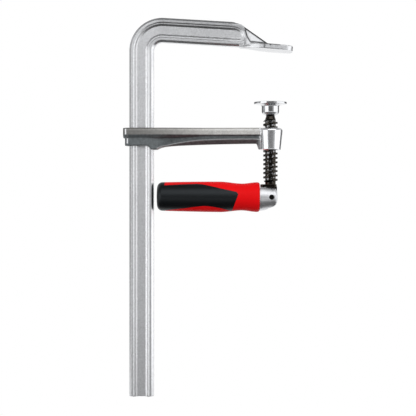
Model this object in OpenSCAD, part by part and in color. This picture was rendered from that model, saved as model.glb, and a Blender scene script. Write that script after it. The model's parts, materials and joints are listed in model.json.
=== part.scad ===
// Screw clamp with a profiled rail, a forged sliding arm and a folding two-material handle.
// Millimetres. The origin is on the fixed jaw's clamping face, on the spindle axis.
// +Z runs up along the spindle towards the fixed jaw, and +X points away from the rail.

/* [Rail] */
// Width of the rail, seen from the front
rail_w = 25; // [22:0.5:30]
// Thickness of the rail
rail_t = 12; // [10:0.5:16]
// Rounding of the rail's long edges
rail_edge_r = 2.4; // [1:0.1:3]
// Width of the flat band along each edge of the rail
flange_w = 3; // [2.5:0.1:3.5]
// Width of each slope between band, ledge and channel floor
channel_slope = 1.8; // [1:0.1:2]
// Width of the ledge beside the channel floor
ledge_w = 1.6; // [1:0.1:2]
// Depth of the ledge below the band
ledge_d = 1; // [0.5:0.1:1.4]
// Depth of the channel floor below the band
channel_d = 2.4; // [1.6:0.1:3]
// Length of the rail below the fixed jaw's face
rail_len = 355.5; // [260:0.5:500]
// Inner radius of the bend into the fixed arm
bend_r = 8.7; // [6:0.1:14]
// Downward slope of the fixed arm, in degrees
arm_slope = 3.6; // [2:0.1:5]

/* [Fixed jaw] */
// Distance from the rail's inner edge to the spindle axis
throat = 120; // [105:1:150]
// Height of the fixed arm's lower edge over the jaw face, at the spindle axis
jaw_rise = 1.5; // [1:0.1:2.5]
// Downward slope of the jaw face, in degrees
jaw_tilt = 5; // [3:0.1:7]
// Thickness of the jaw plate
jaw_t = 5.2; // [4:0.1:7]
// Width of the jaw plate, front to back
jaw_w = 30; // [26:0.5:36]
// Reach of the jaw plate beyond the spindle axis
jaw_tip = 22.6; // [20:0.2:28]
// Rounding of the jaw plate's two free corners
jaw_corner_r = 9.6; // [6:0.2:12]
// Distance from the spindle axis back to where the plate starts to narrow
jaw_back = 6.5; // [4:0.1:9]
// Distance from the spindle axis back to the end of the rail profile
jaw_root = 24; // [20:0.5:28]
// Slope of the ridge between the arm and the jaw plate, in degrees
ridge_angle = 30; // [26:0.5:34]

/* [Sliding arm] */
// Opening between the fixed jaw and the pressure pad, as posed
opening = 53.2; // [45:0.1:150]
// Distance from the pad's face down to the top of the arm, as posed
spindle_out = 26.6; // [26:0.1:40]
// Play between the rail and the arm's window, on each side
slide_play = 0.35; // [0.2:0.05:0.8]
// Wall of the arm behind the rail
collar_back = 6.6; // [5:0.1:10]
// Width of the arm round the rail, front to back
collar_w = 24; // [22:0.5:34]
// Width of the arm near the boss, front to back
beam_w = 14; // [10:0.5:18]
// Height of the top rib
rib_h = 7.4; // [5:0.1:9]
// How far the rib stands proud of the web
rib_out = 1.3; // [0.6:0.1:2]
// Height of the arm at the rail
collar_h = 18.2; // [16:0.1:24]
// Height of the arm at its heel, just inside the rail
heel_h = 22.1; // [19:0.1:28]
// Height of the arm next to the boss
beam_h = 15.8; // [13:0.1:20]
// Height of the web above the arm's lower bevel, next to the boss
bevel_h = 10.8; // [9:0.1:12]
// Radius of the boss at its top
boss_top_r = 12.6; // [11:0.1:16]
// Radius of the boss at its foot
boss_foot_r = 10.6; // [9.6:0.1:14]
// Height of the boss
boss_h = 23; // [19:0.1:30]
// Rounding of the boss's upper edge
boss_round = 3; // [1:0.1:4]

/* [Spindle] */
// Outside radius of the thread
thread_r = 7.5; // [7.2:0.1:8]
// Root radius of the thread
root_r = 5.5; // [5.2:0.1:6]
// Pitch of the thread
pitch = 4.5; // [4:0.1:5]
// Play between the two threads, along the radius and along the axis
thread_play = 0.25; // [0.2:0.01:0.3]
// Distance from the pad's face down to the handle's hinge pin
spindle_len = 97.7; // [96:0.1:130]
// Length of the bare neck between the pad and the thread
neck_len = 5.9; // [5:0.1:9]
// Radius of the neck where it leaves the pad
neck_r = 4.4; // [3.8:0.1:4.6]
// Radius of the plain core below the thread
core_r = 4.85; // [4.2:0.05:5.2]
// Radius of the ball that carries the pad
ball_r = 5.4; // [5.3:0.05:5.6]
// Thickness of the foot flange that the handle folds against
foot_t = 3.1; // [2:0.1:4]
// Thickness of the tang in the hinge
tang_t = 6; // [5:0.1:7]
// Half width of the tang and radius of its round end
tang_r = 5.6; // [4.6:0.1:6.2]

/* [Pressure pad] */
// Radius of the pad's disc
pad_r = 17; // [15:0.1:20]
// Thickness of the pad's rim
pad_t = 1.2; // [1:0.1:2.4]
// Height of the pad with its cup
pad_h = 13.3; // [13:0.1:16]
// Outside radius of the cup
cup_r = 9; // [8:0.1:11]
// Depth of the ball's centre below the pad's face
ball_depth = 7.6; // [7.4:0.05:7.8]
// Play of the ball in its socket
ball_play = 0.15; // [0.1:0.01:0.2]
// Radius of the snap ring's wire
ring_wire_r = 0.6; // [0.4:0.05:0.7]
// Tilt of the pad on its ball, each way, in degrees
pad_tilt = 8; // [4:0.5:8]

/* [Hinge] */
// Offset of the hinge pin from the spindle axis
pin_x = 1.1; // [0:0.1:2]
// Radius of the spring pin
pin_r = 2.6; // [2:0.1:3]
// Wall of the spring pin
pin_wall = 0.9; // [0.6:0.1:1.1]
// Running play of the pin in the tang
pin_play = 0.06; // [0.03:0.01:0.1]
// Height of the head's flat above the pin
flat_h = 9.8; // [9:0.1:11]
// Gap between the head's flat and the foot flange
stop_gap = 0.3; // [0.2:0.05:0.5]
// Radius of the head around the pin
head_r = 9.9; // [9.6:0.1:10.6]
// Radius of the head's collar against the handle
head_collar_r = 13.9; // [12.5:0.1:14.2]
// Reach of the head beyond the pin
head_tip = 5.8; // [5:0.1:7]
// Thickness of each friction washer
washer_t = 0.7; // [0.4:0.05:1]
// Gap on each side of a friction washer
washer_gap = 0.1; // [0.05:0.01:0.2]
// Radius of the head's shank inside the handle
shank_r = 6; // [5:0.1:7]
// Length of the head's shank inside the handle
shank_len = 62; // [40:1:75]

/* [Handle] */
// Gap between the handle's end and the rail as the handle swings past it
handle_gap = 3.5; // [3:0.1:6]
// Distance from the hinge pin to the handle's front end
handle_start = 12.1; // [11.6:0.1:14]
// Radius of the handle's front flange
flange_r = 15.25; // [14.4:0.05:17]
// Radius of the handle's neck
grip_neck_r = 13.8; // [13:0.1:14.2]
// Radius of the handle's belly
belly_r = 15.65; // [15:0.05:17]
// Radius of the handle's tail before its end is rounded
tail_r = 13.9; // [13.2:0.1:15]
// Rounding of the handle's end
tail_round = 4.6; // [3:0.1:6]
// Thickness of the soft layer
soft_t = 2.2; // [1.6:0.1:2.6]
// Length of the soft cap over the handle's end
soft_cap = 8; // [6:0.1:14]
// Half width of the rib that carries the hard strips between the soft side panels
strip_rib = 3; // [2:0.1:5]

/* [Hidden] */
$fn = 72;
thread_seg = 24;
overlap = 1;

// Places along the spindle, from the fixed jaw down
pad_z = -opening;
ball_z = pad_z - ball_depth;
thread_top_z = pad_z - pad_h - neck_len;
arm_z = pad_z - spindle_out;
boss_foot_z = arm_z - boss_h;
pin_z = pad_z - spindle_len;
foot_z = pin_z + flat_h + stop_gap;
thread_foot_z = foot_z + foot_t + 2.8;

// Places across the clamp
rail_x = -throat - rail_w / 2;
bend_x = -throat + bend_r;
bend_mid_r = bend_r + rail_w / 2;
bend_z = jaw_rise - bend_r * cos(arm_slope) - tan(arm_slope) * (bend_x + bend_r * sin(arm_slope));
arm_len = (-jaw_root - bend_x - bend_mid_r * sin(arm_slope)) / cos(arm_slope);
handle_len = throat + pin_x - handle_gap - handle_start;

function lerp(a, b, t) = a + (b - a) * t;
function clamp01(t) = max(0, min(1, t));
function smooth(t) = let (c = clamp01(t)) c * c * (3 - 2 * c);
function ease_out(t) = let (c = 1 - clamp01(t)) 1 - c * c;
function arc(centre, r, from, to, steps = 6) =
    [for (i = [0 : steps]) let (a = lerp(from, to, i / steps)) centre + r * [cos(a), sin(a)]];

module rounded_rect(w, h, r) {
    square([w - 2 * r, h], center = true);
    square([w, h - 2 * r], center = true);
    for (x = [-1, 1], y = [-1, 1])
        translate([x * (w / 2 - r), y * (h / 2 - r)]) circle(r);
}

// Closed skin through rings of equally many points, each counter-clockwise seen from the last ring's side
module skin(rings) {
    n = len(rings[0]);
    last = (len(rings) - 1) * n;
    sides = [
        for (i = [0 : n : last - n], j = [0 : n - 1]) each
            let (a = i + j, b = i + (j + 1) % n)
                [[a, b + n, b], [a, a + n, b + n]]
    ];
    near_cap = [for (j = [0 : n - 1]) j];
    far_cap = [for (j = [n - 1 : -1 : 0]) last + j];
    polyhedron([for (ring = rings) each ring], concat(sides, [near_cap, far_cap]));
}

// Right-hand screw: one trapezoid ridge wound round a core that ends in flat faces.
// The ridge grows from nothing over run_in steps at each end.
module screw(core, crest, half_base, half_crest, start_z, turns, tail, run_in) {
    last = turns * thread_seg;
    function spot(r, i, z) = [r * cos(360 * i / thread_seg), r * sin(360 * i / thread_seg), z];
    function ridge_r(i) = lerp(core, crest, min(1, min(i, last - i) / run_in));
    function ridge_z(i) = start_z + pitch * i / thread_seg;
    function ridge(i, j) = 4 * i + j;
    function foot(i) = 4 * (last + 1) + i % thread_seg;
    function head(i) = foot(i) + thread_seg;
    function quad(left_low, right_low, right_high, left_high) =
        [[left_low, left_high, right_high], [left_low, right_high, right_low]];
    points = concat(
        [for (i = [0 : last]) each [
            spot(core, i, ridge_z(i) - half_base),
            spot(ridge_r(i), i, ridge_z(i) - half_crest),
            spot(ridge_r(i), i, ridge_z(i) + half_crest),
            spot(core, i, ridge_z(i) + half_base)
        ]],
        [for (i = [0 : thread_seg - 1]) spot(core, i, start_z - half_base - tail)],
        [for (i = [0 : thread_seg - 1]) spot(core, i, ridge_z(last) + half_base + tail)]
    );
    ridge_faces = [for (i = [0 : last - 1], j = [0 : 2]) each
        quad(ridge(i, j), ridge(i + 1, j), ridge(i + 1, j + 1), ridge(i, j + 1))];
    root_faces = [for (i = [0 : last - thread_seg - 1]) each
        quad(ridge(i, 3), ridge(i + 1, 3), ridge(i + 1 + thread_seg, 0), ridge(i + thread_seg, 0))];
    foot_faces = [for (i = [0 : thread_seg - 2]) each
        quad(foot(i), foot(i + 1), ridge(i + 1, 0), ridge(i, 0))];
    foot_seam = concat(
        [foot(thread_seg - 1), ridge(thread_seg - 1, 0), ridge(thread_seg, 0)],
        [for (j = [3 : -1 : 0]) ridge(0, j)],
        [foot(0)]
    );
    head_faces = [for (i = [last - thread_seg + 1 : last - 1]) each
        quad(ridge(i, 3), ridge(i + 1, 3), head(i + 1), head(i))];
    head_seam = concat(
        [ridge(last - thread_seg + 1, 3), ridge(last - thread_seg, 3)],
        [for (j = [0 : 3]) ridge(last, j)],
        [head(last), head(last + 1)]
    );
    caps = [
        [for (i = [0 : thread_seg - 1]) foot(i)],
        [for (i = [thread_seg - 1 : -1 : 0]) head(i)]
    ];
    polyhedron(points, concat(
        ridge_faces, root_faces, foot_faces, [foot_seam], head_faces, [head_seam], caps
    ));
}

// Thread form: 30 degree trapezoid, with crest and root equally wide on the pitch line
flank_run = (thread_r - root_r) * tan(15);
half_base = pitch / 4 + flank_run / 2;
half_crest = pitch / 4 - flank_run / 2;
thread_len = thread_top_z - thread_foot_z;
thread_turns = floor((thread_len - 2 * half_base - 0.6) / pitch);
thread_tail = (thread_len - 2 * half_base - thread_turns * pitch) / 2;
thread_start_z = thread_foot_z + thread_tail + half_base;

module spindle_thread() {
    screw(root_r, thread_r, half_base, half_crest, thread_start_z, thread_turns, thread_tail,
        thread_seg / 2);
}

// The nut's thread is the same helix, a whole number of turns up, with play all round
module nut_thread() {
    first_turn = floor((boss_foot_z - thread_start_z) / pitch) - 2;
    screw(root_r + thread_play, thread_r + thread_play, half_base + thread_play,
        half_crest + thread_play, thread_start_z + first_turn * pitch, ceil(boss_h / pitch) + 4,
        0.2, 2);
}

// Rail section, width along X and thickness along Y, with a stepped channel in both faces.
// An inset draws every face in a little.
module rail_profile(inset = 0) {
    band_x = rail_w / 2 - flange_w;
    ledge_x = band_x - channel_slope;
    slope_x = ledge_x - ledge_w;
    floor_x = slope_x - channel_slope;
    top = rail_t / 2 - inset;
    half = [
        [floor_x, top - channel_d], [slope_x, top - ledge_d], [ledge_x, top - ledge_d],
        [band_x, top], [band_x, top + overlap]
    ];
    difference() {
        rounded_rect(rail_w - 2 * inset, rail_t - 2 * inset, rail_edge_r);
        for (side = [-1, 1])
            polygon(concat(
                [for (p = half) [p.x, side * p.y]],
                [for (i = [len(half) - 1 : -1 : 0]) [-half[i].x, side * half[i].y]]
            ));
    }
}

// Half width of the jaw plate at x, from the narrow neck out to full width
neck_half = rail_t / 2 - 0.1;
neck_x = -jaw_root - 8;
function plate_half(x) = lerp(neck_half, jaw_w / 2, smooth((x - neck_x - 4) / (-jaw_back - neck_x - 4)));

module jaw_outline() {
    steps = 10;
    flare = [for (i = [0 : steps]) lerp(neck_x, -jaw_back, i / steps)];
    polygon(concat(
        [for (x = flare) [x, -plate_half(x)]],
        [[jaw_tip - jaw_corner_r, -jaw_w / 2], [jaw_tip - jaw_corner_r, jaw_w / 2]],
        [for (i = [steps : -1 : 0]) [flare[i], plate_half(flare[i])]]
    ));
    translate([jaw_tip - jaw_corner_r - overlap, -jaw_w / 2 + jaw_corner_r])
        square([jaw_corner_r + overlap, jaw_w - 2 * jaw_corner_r]);
    for (side = [-1, 1])
        translate([jaw_tip - jaw_corner_r, side * (jaw_w / 2 - jaw_corner_r)]) circle(jaw_corner_r);
}

// Forged web between arm and plate: it grows out of the channel floor and flares on to the plate
ridge_foot = 0.5;
function ridge_height(x) = jaw_t + tan(ridge_angle) * (-ridge_foot - x);
module jaw_web() {
    steps = 9;
    root_half = rail_t / 2 - channel_d - 0.2;
    sink = 0.15;
    skin([
        for (i = [0 : steps])
            let (
                t = i / steps,
                x = lerp(neck_x, -ridge_foot, t),
                low = jaw_t / 2,
                high = ridge_height(x) - sink,
                base = lerp(root_half, plate_half(x) - 1, smooth((x - neck_x) / 10)),
                crown = lerp(root_half, min(root_half, 3), t),
                waist = lerp(base, crown, 0.5 + 0.25 * sin(180 * t)),
                mid = lerp(low, high, 0.5)
            )
            [
                [x, -base, low], [x, base, low], [x, waist, mid],
                [x, crown, high], [x, -crown, high], [x, -waist, mid]
            ]
    ]);
}

module rail() {
    reach = throat + rail_w;
    bar_len = bend_z + rail_len;
    seam = 1;
    seam_inset = 0.03;
    color("silver") {
        translate([bend_x, 0, bend_z]) {
            translate([-bend_mid_r, 0, -bar_len]) linear_extrude(bar_len) rail_profile();
            rotate([90, 0, 0]) rotate_extrude(angle = 90 + arm_slope, start = 90 - arm_slope)
                translate([bend_mid_r, 0]) rail_profile();
        }
        difference() {
            translate([bend_x, 0, bend_z]) rotate([0, 90 + arm_slope, 0])
                translate([-bend_mid_r, 0, -seam / 2])
                    linear_extrude(arm_len + seam / 2) rail_profile(seam_inset);
            rotate([0, jaw_tilt, 0]) translate([-ridge_foot, 0, jaw_t]) rotate([0, ridge_angle, 0])
                translate([-reach, -reach / 2, 0]) cube([2 * reach, reach, reach]);
        }
        rotate([0, jaw_tilt, 0]) jaw_web();
        rotate([0, jaw_tilt, 0]) linear_extrude(jaw_t) jaw_outline();
    }
}

// Stations along the sliding arm, from its back end to the boss
collar_x = -throat - rail_w - slide_play - collar_back;
heel_x = -throat + 3;
heel_run = 6;
beam_x = lerp(heel_x, 0, 0.5);
end_bevel = 1.6;
web_inset = 1.7;
taper_steps = 7;
taper = [for (i = [1 : taper_steps]) lerp(heel_x, beam_x, i / taper_steps)];
rib_stations = concat([collar_x, collar_x + end_bevel, heel_x], taper, [0]);
web_stations = concat(
    [collar_x + web_inset, collar_x + web_inset + end_bevel, heel_x - heel_run - end_bevel,
        heel_x - heel_run, heel_x], taper, [0]
);

function beam_part(x) = (x - heel_x) / (beam_x - heel_x);
function arm_half(x) = lerp(collar_w / 2, beam_w / 2, smooth(beam_part(x)))
    - end_bevel * clamp01((collar_x + end_bevel - x) / end_bevel);
function web_half(x) = lerp(collar_w / 2, beam_w / 2, smooth(beam_part(x))) - rib_out
    - end_bevel * clamp01((collar_x + web_inset + end_bevel - x) / end_bevel);
function collar_drop(x) = lerp(collar_h, heel_h, clamp01((x - heel_x + heel_run + end_bevel) / heel_run));
function keel_z(x) = arm_z - (x <= heel_x ? collar_drop(x) : lerp(heel_h, beam_h, ease_out(beam_part(x))));
function bevel_z(x) = arm_z - (x <= heel_x ? collar_drop(x) - 0.8
    : lerp(heel_h - 0.8, bevel_h, ease_out(beam_part(x))));

module arm_rib() {
    top_bevel = 0.8;
    skin([
        for (x = rib_stations)
            let (h = arm_half(x))
            [
                [x, -h, arm_z - rib_h], [x, h, arm_z - rib_h], [x, h, arm_z - top_bevel],
                [x, h - top_bevel, arm_z], [x, -h + top_bevel, arm_z], [x, -h, arm_z - top_bevel]
            ]
    ]);
}

module arm_web() {
    skin([
        for (x = web_stations)
            let (h = web_half(x), keel = h - min(0.6 * h, keel_depth(x) * 0.8))
            [
                [x, -keel, keel_z(x)], [x, keel, keel_z(x)], [x, h, bevel_z(x)],
                [x, h, arm_z - rib_h / 2], [x, -h, arm_z - rib_h / 2], [x, -h, bevel_z(x)]
            ]
    ]);
}
function keel_depth(x) = bevel_z(x) - keel_z(x);

module boss() {
    round_r = min(boss_round, boss_top_r - thread_r - 1.2);
    translate([0, 0, boss_foot_z]) rotate_extrude()
        polygon(concat(
            [[0, 0], [boss_foot_r, 0]],
            arc([boss_top_r - round_r, boss_h - round_r], round_r, 0, 90),
            [[0, boss_h]]
        ));
}

module sliding_arm() {
    window_h = heel_h + 2 * overlap;
    color("dimgray") difference() {
        union() {
            arm_rib();
            arm_web();
            boss();
        }
        translate([rail_x, 0, arm_z - window_h / 2 + overlap])
            cube([rail_w + 2 * slide_play, rail_t + 2 * slide_play, window_h], center = true);
        nut_thread();
    }
}

module spindle() {
    neck_top_r = ball_r * 0.64;
    ball_neck_z = ball_z - sqrt(ball_r * ball_r - neck_top_r * neck_top_r);
    joint_r = root_r - 0.4;
    color("#2b2b2d") difference() {
        union() {
            spindle_thread();
            translate([0, 0, ball_z]) sphere(ball_r);
            rotate_extrude() polygon([
                [0, ball_z], [neck_top_r - 0.05, ball_z], [neck_top_r, ball_neck_z],
                [neck_r, pad_z - pad_h], [neck_r, thread_top_z + 2], [joint_r, thread_top_z],
                [joint_r, thread_top_z - overlap], [0, thread_top_z - overlap]
            ]);
            translate([0, 0, foot_z + overlap]) cylinder(h = thread_foot_z - foot_z, r = core_r);
            translate([pin_x - (handle_start - head_tip) / 2, 0, foot_z])
                linear_extrude(foot_t) rounded_rect(handle_start + head_tip - 1.2, 2 * head_r - 2, 3);
            translate([pin_x, tang_t / 2, pin_z]) rotate([90, 0, 0]) linear_extrude(tang_t) {
                circle(tang_r);
                translate([-tang_r, 0]) square([2 * tang_r, foot_z - pin_z + overlap]);
            }
        }
        translate([pin_x, tang_t, pin_z]) rotate([90, 0, 0]) cylinder(h = 2 * tang_t, r = pin_r + pin_play);
    }
}

// Snap ring and its groove, level with the lower half of the ball. The groove leaves room for the tilt.
socket_r = ball_r + ball_play;
ring_r = socket_r - 0.4;
ring_drop = 3.3;
module pressure_pad() {
    cup_round = 3;
    rim_round = 0.7;
    groove_r = ring_r + ring_wire_r + (ring_drop + ring_wire_r) * sin(pad_tilt) + 0.1;
    groove_h = ring_wire_r + (ring_r + ring_wire_r) * tan(pad_tilt) + 0.1;
    groove_z = -ball_depth - ring_drop;
    color("gainsboro") translate([0, 0, pad_z]) rotate_extrude() polygon(concat(
        [[0, socket_r - ball_depth], [0, 0], [pad_r - rim_round, 0]],
        [[pad_r, -rim_round], [pad_r, -pad_t], [cup_r + 2, -pad_t - 0.5], [cup_r, -pad_t - 2]],
        arc([cup_r - cup_round, cup_round - pad_h], cup_round, 0, -90),
        [[socket_r, -pad_h], [socket_r, groove_z - groove_h], [groove_r, groove_z - groove_h]],
        [[groove_r, groove_z + groove_h], [socket_r, groove_z + groove_h]],
        arc([0, -ball_depth], socket_r, 0, 84, 14)
    ));
}

module pad_snap_ring() {
    split_angle = 40;
    color("darkgray") translate([0, 0, ball_z - ring_drop]) rotate([0, 0, split_angle / 2])
        rotate_extrude(angle = 360 - split_angle) translate([ring_r, 0]) circle(ring_wire_r, $fn = 24);
}

// Turns a shape made along +Z at the origin to run from the hinge pin along the handle
module along_handle() {
    translate([pin_x, 0, pin_z]) rotate([0, -90, 0]) children();
}

slot_half = tang_t / 2 + washer_t + 2 * washer_gap;
slot_r = tang_r + 0.8;

module hinge_head() {
    tip_round = 4.6;
    collar_l = 1.6;
    color("lightgray") difference() {
        along_handle() {
            rotate_extrude() polygon(concat(
                [[0, -head_tip]],
                arc([head_r - tip_round, tip_round - head_tip], tip_round, -90, 0),
                [[head_r, 0], [head_collar_r, handle_start - collar_l], [head_collar_r, handle_start]],
                [[0, handle_start]]
            ));
            cylinder(h = handle_start + shank_len, r = shank_r);
        }
        translate([pin_x, 0, pin_z + flat_h]) translate([-handle_start - overlap, -head_collar_r * 2, 0])
            cube([2 * handle_start, 4 * head_collar_r, head_collar_r]);
        translate([pin_x, slot_half, pin_z]) rotate([90, 0, 0]) linear_extrude(2 * slot_half) {
            circle(slot_r);
            translate([-slot_r, 0]) square([slot_r + 2 * head_tip, 2 * head_collar_r]);
            translate([0, -slot_r]) square([2 * head_tip, slot_r + overlap]);
        }
        translate([pin_x, head_collar_r, pin_z]) rotate([90, 0, 0])
            cylinder(h = 2 * head_collar_r, r = pin_r + 0.02);
    }
}

module hinge_pin() {
    pin_half = head_r - 0.5;
    split_w = 0.8;
    color("#3a3a3c") translate([pin_x, pin_half, pin_z]) rotate([90, 0, 0]) difference() {
        cylinder(h = 2 * pin_half, r = pin_r);
        translate([0, 0, -overlap]) cylinder(h = 2 * pin_half + 2 * overlap, r = pin_r - pin_wall);
        translate([0, -split_w / 2, -overlap]) cube([2 * pin_r, split_w, 2 * pin_half + 2 * overlap]);
    }
}

module friction_washer(side) {
    near_y = tang_t / 2 + washer_gap;
    low_y = side > 0 ? near_y : -near_y - washer_t;
    color("#8c8f94") translate([pin_x, low_y + washer_t, pin_z]) rotate([90, 0, 0]) difference() {
        cylinder(h = washer_t, r = tang_r + 0.3);
        translate([0, 0, -overlap]) cylinder(h = washer_t + 2 * overlap, r = pin_r + 0.1);
    }
}
module friction_washer_front() { friction_washer(-1); }
module friction_washer_back() { friction_washer(1); }

// Radius of the handle at a distance from its front end
flange_len = 3.5;
neck_s = 18;
belly_s = 48;
function handle_r(s) =
    s < flange_len ? flange_r
    : s < neck_s ? lerp(flange_r, grip_neck_r, smooth((s - flange_len) / (neck_s - flange_len)))
    : s < belly_s ? lerp(grip_neck_r, belly_r, smooth((s - neck_s) / (belly_s - neck_s)))
    : lerp(belly_r, tail_r, pow((s - belly_s) / (handle_len - belly_s), 1.6));

// Solid of the handle's outer shape, drawn in by a depth all over and turned from a start angle
module handle_form(depth, start_angle) {
    front_bevel = 0.9;
    sides = concat(
        [for (i = [0 : 4]) lerp(flange_len, neck_s, i / 4)],
        [for (i = [1 : 5]) lerp(neck_s, belly_s, i / 5)],
        [for (i = [1 : 5]) lerp(belly_s, handle_len - tail_round, i / 5)]
    );
    end_r = handle_r(handle_len - tail_round) - tail_round;
    along_handle() translate([0, 0, handle_start]) rotate([0, 0, start_angle])
        rotate_extrude() polygon(concat(
            [[0, 0], [flange_r - front_bevel - depth, 0], [flange_r - depth, front_bevel]],
            [for (s = sides) [handle_r(s) - depth, s]],
            arc([end_r, handle_len - tail_round], tail_round - depth, 10, 90, 5),
            [[0, handle_len - depth]]
        ));
}

// Side outline of the soft layer: distance from the handle's front end, height over its axis
module soft_outline() {
    nose_r = 3.2;
    nose_s = 22.2;
    chin_s = 27.4;
    cap_s = handle_len - soft_cap;
    nose_top = 0.36 * belly_r;
    chin_low = -0.8 * belly_r;
    polygon(concat(
        [[cap_s + overlap, 0.77 * belly_r], [0.57 * handle_len, 0.855 * belly_r]],
        [[0.37 * handle_len, 0.555 * belly_r]],
        arc([nose_s + nose_r, nose_top - nose_r], nose_r, 100, 190),
        arc([chin_s + nose_r, chin_low + nose_r / 2], nose_r, 195, 260),
        [[0.39 * handle_len, -0.735 * belly_r], [0.52 * handle_len, -0.575 * belly_r]],
        [[0.72 * handle_len, -0.72 * belly_r], [cap_s + overlap, -0.85 * belly_r]]
    ));
}

// Room that the soft layer takes up: side panels front and back, and the cap over the end
module soft_room() {
    wide = 2 * belly_r;
    for (near = [strip_rib, -strip_rib - wide])
        translate([pin_x - handle_start, near + wide, pin_z]) rotate([90, 0, 0]) linear_extrude(wide)
            mirror([1, 0]) soft_outline();
    along_handle() translate([0, 0, handle_start + handle_len - soft_cap])
        cylinder(h = soft_cap + overlap, r = wide);
}

module handle_core() {
    color("#d01818") difference() {
        handle_form(0, 90);
        difference() {
            soft_room();
            handle_form(soft_t, 90);
        }
        along_handle() translate([0, 0, handle_start - overlap])
            cylinder(h = shank_len + overlap + 0.5, r = shank_r + 0.03);
    }
}

module soft_grip() {
    color("#232427") difference() {
        intersection() {
            handle_form(0, 0);
            soft_room();
        }
        handle_form(soft_t, 0);
    }
}

rail();
sliding_arm();
spindle();
pressure_pad();
pad_snap_ring();
hinge_head();
hinge_pin();
friction_washer_front();
friction_washer_back();
handle_core();
soft_grip();
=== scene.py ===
"""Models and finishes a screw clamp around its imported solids, and sets it in a plain white studio."""

import json
import math

import bmesh
import bpy
from bpy.props import FloatProperty, FloatVectorProperty, PointerProperty
from mathutils import Matrix, Vector


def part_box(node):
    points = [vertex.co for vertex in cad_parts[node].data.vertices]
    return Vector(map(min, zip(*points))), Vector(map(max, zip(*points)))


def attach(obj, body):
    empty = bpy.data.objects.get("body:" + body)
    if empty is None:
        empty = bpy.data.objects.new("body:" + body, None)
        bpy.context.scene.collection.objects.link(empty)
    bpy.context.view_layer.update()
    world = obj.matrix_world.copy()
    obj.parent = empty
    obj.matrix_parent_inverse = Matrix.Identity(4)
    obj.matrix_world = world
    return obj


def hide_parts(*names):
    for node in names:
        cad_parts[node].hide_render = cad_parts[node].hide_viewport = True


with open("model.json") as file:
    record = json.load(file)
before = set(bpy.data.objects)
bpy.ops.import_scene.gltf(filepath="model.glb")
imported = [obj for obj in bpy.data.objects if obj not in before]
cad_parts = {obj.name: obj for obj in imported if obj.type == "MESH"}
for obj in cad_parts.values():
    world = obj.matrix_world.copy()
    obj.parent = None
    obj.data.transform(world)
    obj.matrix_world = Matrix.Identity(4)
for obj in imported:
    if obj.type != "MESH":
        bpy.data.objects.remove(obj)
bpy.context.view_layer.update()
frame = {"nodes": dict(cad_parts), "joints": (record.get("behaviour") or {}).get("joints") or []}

bl_info = {
    "name": "Screw clamp",
    "version": (1, 0, 0),
    "blender": (4, 5, 0),
    "location": "3D View > Sidebar > Clamp",
    "description": "Models and finishes a screw clamp around its solids",
    "category": "Object",
}

MM = 0.001
TINY = 0.01 * MM
# Length of the straight flange at the handle's front end
FLANGE_END = 3.5 * MM
# Angle on the ball at which its small flat top starts, in degrees
BALL_TOP = 84
# Middle of the clamp, on which the lamps are aimed
MIDDLE = Vector((-0.06, 0, -0.16))

# Places that the frame gives
rail_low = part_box("rail")[0]
arm_low, arm_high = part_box("sliding_arm")
spindle_low, spindle_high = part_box("spindle")
pad_low, pad_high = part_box("pressure_pad")
head_low, head_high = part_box("hinge_head")
grip_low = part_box("soft_grip")[0]
joint_at = {joint["name"]: Vector(joint["pos_m"]) for joint in frame["joints"] if "pos_m" in joint}
pin = joint_at["handle_fold"]
ball = joint_at["pad_tilt"]


def length(name, description, millimetres):
    """A size of the clamp that a user can change."""
    return FloatProperty(name=name, description=description, default=millimetres * MM, min=0, unit="LENGTH")


def angle(name, description, degrees):
    """An angle of the clamp that a user can change."""
    return FloatProperty(name=name, description=description, default=math.radians(degrees), subtype="ANGLE")


def colour(name, description, red, green, blue):
    """A finish's linear colour that a user can change."""
    return FloatVectorProperty(
        name=name, description=description, default=(red, green, blue), min=0, max=1, subtype="COLOR"
    )


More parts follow.
